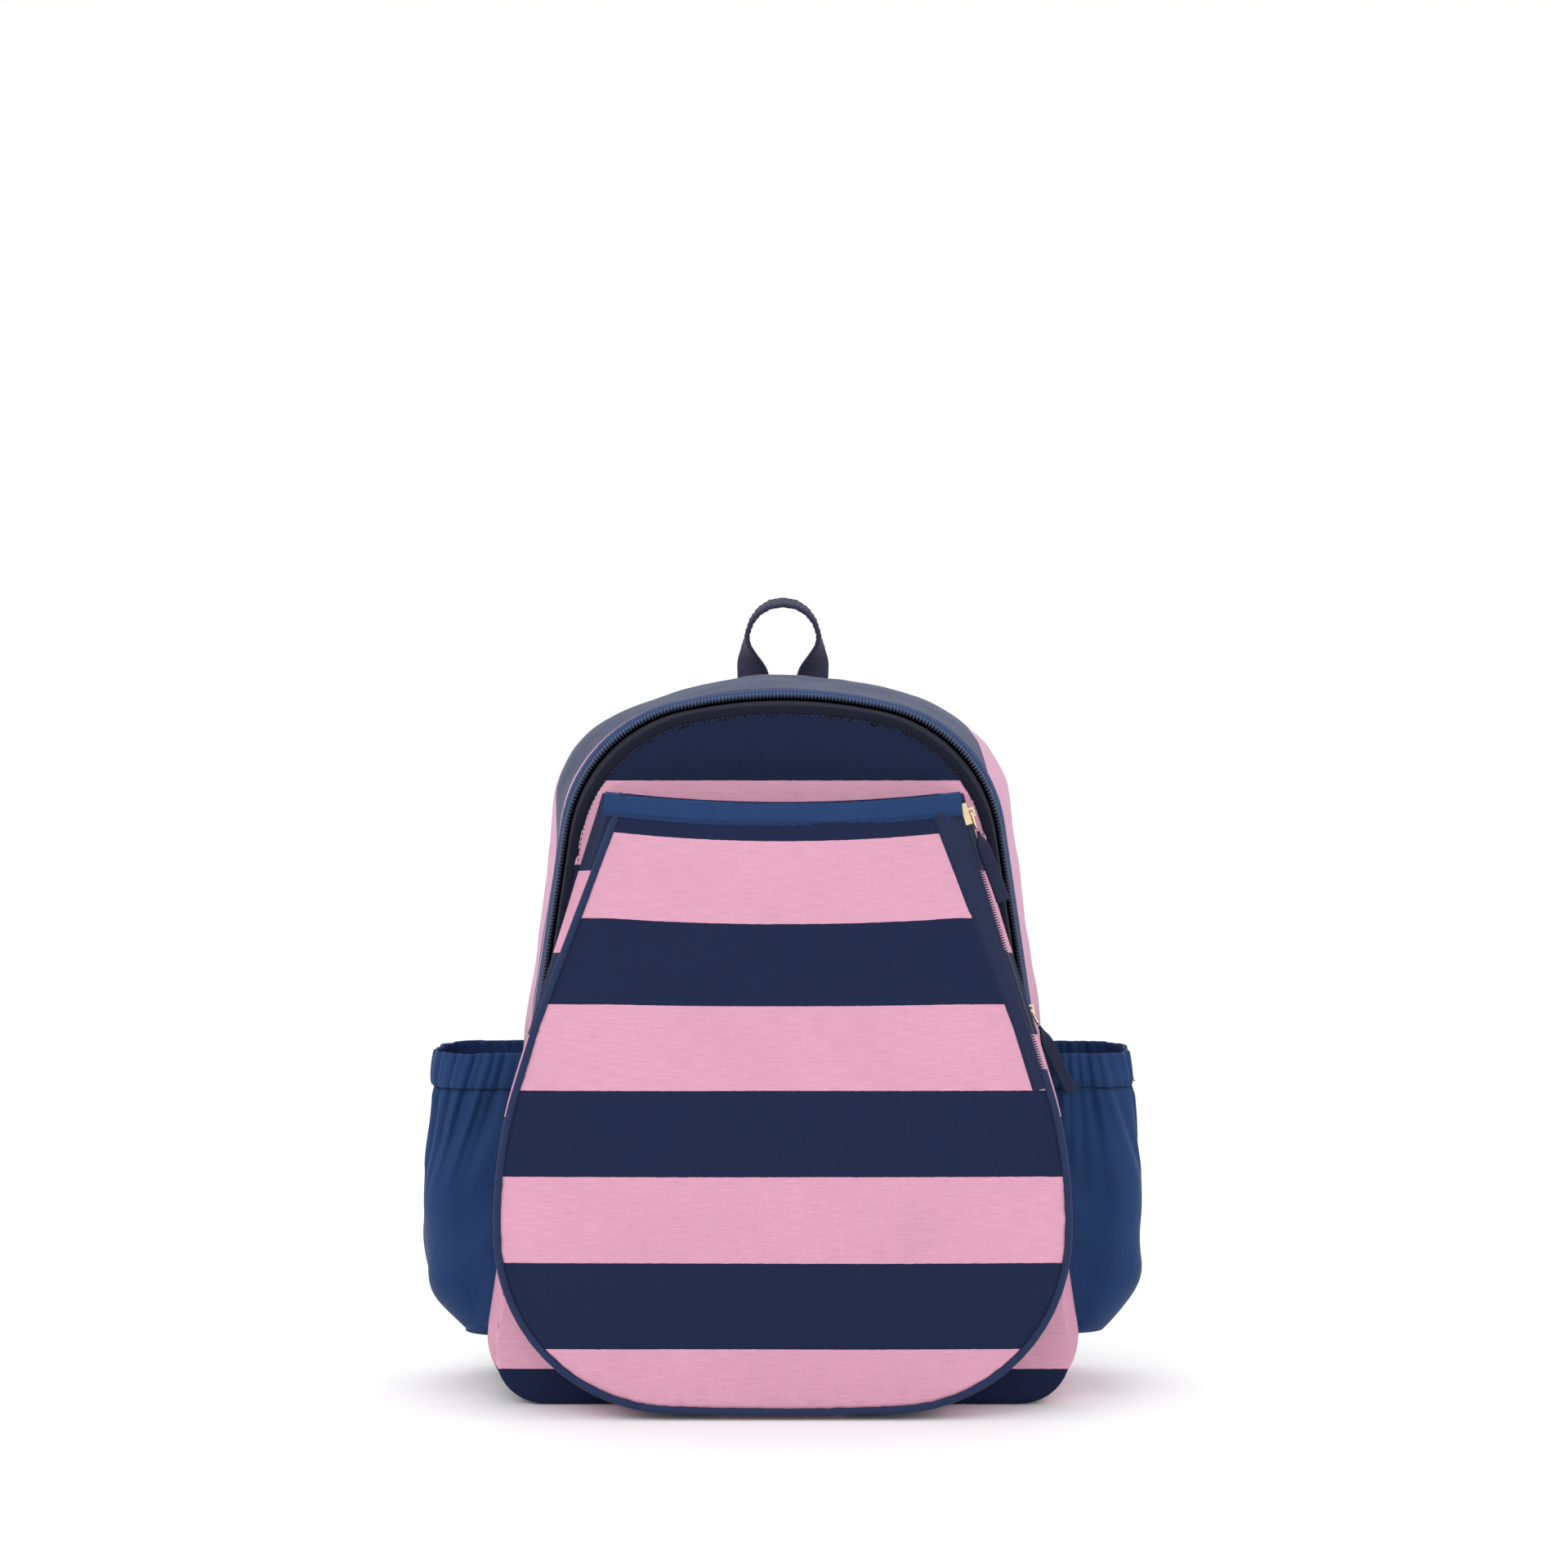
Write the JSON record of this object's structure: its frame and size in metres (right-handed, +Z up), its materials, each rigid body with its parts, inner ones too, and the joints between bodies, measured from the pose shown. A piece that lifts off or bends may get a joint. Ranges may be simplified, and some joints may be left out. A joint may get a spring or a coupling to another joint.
{
  "type": "racket backpack",
  "caption": "Small striped canvas backpack with an open racket pocket on the front, a side zip, open elastic side pockets, a carry loop and padded shoulder straps.",
  "frame": {"origin": "on the floor, in the middle of the pack's overall width and depth", "axes": "+Z up, +X to the viewer's right seen from the racket pocket, -Y out of the racket pocket"},
  "size_m": [0.448, 0.24, 0.4994],
  "materials": {
    "stripe_fabric": "matt canvas weave in wide pink and navy stripes",
    "navy_fabric": "matt canvas weave",
    "bright_navy_fabric": "twill weave, slight sheen",
    "lining_fabric": "smooth plain weave",
    "mesh_fabric": "open spacer mesh",
    "webbing": "ribbed flat webbing",
    "zip_tape": "fine herringbone tape",
    "zip_coil": "nylon coil",
    "gold_metal": "light gold plating",
    "buckle_plastic": "moulded, fine grain",
    "board_plastic": "flat sheet"
  },
  "bodies": {
    "pack": {"back_panel": "navy_fabric", "back_padding": "mesh_fabric", "base_board": "board_plastic", "top_gusset": "stripe_fabric", "left_gusset": "stripe_fabric", "right_gusset": "stripe_fabric", "bottom_gusset": "stripe_fabric", "bottom_sill": "stripe_fabric", "body_zip_tape": "zip_tape", "body_zip_coil": "zip_coil", "left_side_pocket": "bright_navy_fabric", "right_side_pocket": "bright_navy_fabric", "left_pocket_hem": "bright_navy_fabric", "right_pocket_hem": "bright_navy_fabric", "strap_patch": "navy_fabric", "left_top_anchor": "webbing", "right_top_anchor": "webbing", "left_lower_anchor": "webbing", "right_lower_anchor": "webbing"},
    "front_flap": {"front_panel": "stripe_fabric", "front_lining": "lining_fabric", "flap_zip_tape": "zip_tape", "flap_zip_coil": "zip_coil", "pocket_front": "stripe_fabric", "pocket_left_gusset": "stripe_fabric", "pocket_right_gusset": "stripe_fabric", "pocket_bottom_gusset": "stripe_fabric", "pocket_piping": "bright_navy_fabric", "pocket_mouth_binding": "bright_navy_fabric", "pocket_zip_tape": "zip_tape", "pocket_zip_coil": "zip_coil"},
    "pocket_zip_slider": {"pocket_slider": "gold_metal"},
    "pocket_zip_puller": {"pocket_pull_ring": "gold_metal", "pocket_pull_tab": "bright_navy_fabric"},
    "main_zip_slider": {"main_slider": "gold_metal"},
    "main_zip_puller": {"main_pull_ring": "gold_metal", "main_pull_tab": "bright_navy_fabric"},
    "carry_loop": {"carry_handle": "navy_fabric"},
    "left_shoulder_strap": {"left_strap_pad": "navy_fabric", "left_strap_lining": "mesh_fabric", "left_strap_binding": "bright_navy_fabric", "left_strap_webbing": "webbing", "left_buckle": "buckle_plastic", "left_lower_webbing": "webbing"},
    "right_shoulder_strap": {"right_strap_pad": "navy_fabric", "right_strap_lining": "mesh_fabric", "right_strap_binding": "bright_navy_fabric", "right_strap_webbing": "webbing", "right_buckle": "buckle_plastic", "right_lower_webbing": "webbing"},
    "left_tail": {"left_strap_tail": "webbing"},
    "right_tail": {"right_strap_tail": "webbing"}
  },
  "joints": [
    {"name": "front_flap_hinge", "type": "hinge", "parent": "pack", "child": "front_flap", "pos_m": [0, -0.067, 0], "axis": [1, 0, 0], "range_deg": [0, 75]},
    {"name": "pocket_zip_slide", "type": "slide", "parent": "front_flap", "child": "pocket_zip_slider", "axis": [0.2953, 0, -0.9554], "range_m": [0, 0.155]},
    {"name": "pocket_puller_swing", "type": "hinge", "parent": "pocket_zip_slider", "child": "pocket_zip_puller", "pos_m": [0.11254, -0.1034, 0.3606], "axis": [0, -1, 0], "range_deg": [0, 150]},
    {"name": "main_zip_slide", "type": "slide", "parent": "front_flap", "child": "main_zip_slider", "axis": [0.1483, 0, -0.9889], "range_m": [-0.085, 0.18]},
    {"name": "main_puller_swing", "type": "hinge", "parent": "main_zip_slider", "child": "main_zip_puller", "pos_m": [0.15217, -0.05243, 0.23918], "axis": [0, -1, 0], "range_deg": [-15, 130]},
    {"name": "carry_loop_fold", "type": "hinge", "parent": "pack", "child": "carry_loop", "pos_m": [0, 0.071, 0.433], "axis": [1, 0, 0], "range_deg": [-75, 5]},
    {"name": "left_strap_swing", "type": "hinge", "parent": "pack", "child": "left_shoulder_strap", "pos_m": [-0.052, 0.08, 0.412], "axis": [-0.2368, 0, -0.9715], "range_deg": [-15, 15]},
    {"name": "left_tail_swing", "type": "hinge", "parent": "left_shoulder_strap", "child": "left_tail", "pos_m": [-0.1224, 0.11023, 0.1232], "axis": [0.9715, 0, -0.2368], "range_deg": [0, 60]},
    {"name": "right_strap_swing", "type": "hinge", "parent": "pack", "child": "right_shoulder_strap", "pos_m": [0.052, 0.08, 0.412], "axis": [0.2368, 0, -0.9715], "range_deg": [-15, 15]},
    {"name": "right_tail_swing", "type": "hinge", "parent": "right_shoulder_strap", "child": "right_tail", "pos_m": [0.1224, 0.11023, 0.1232], "axis": [0.9715, 0, 0.2368], "range_deg": [0, 60]}
  ]
}
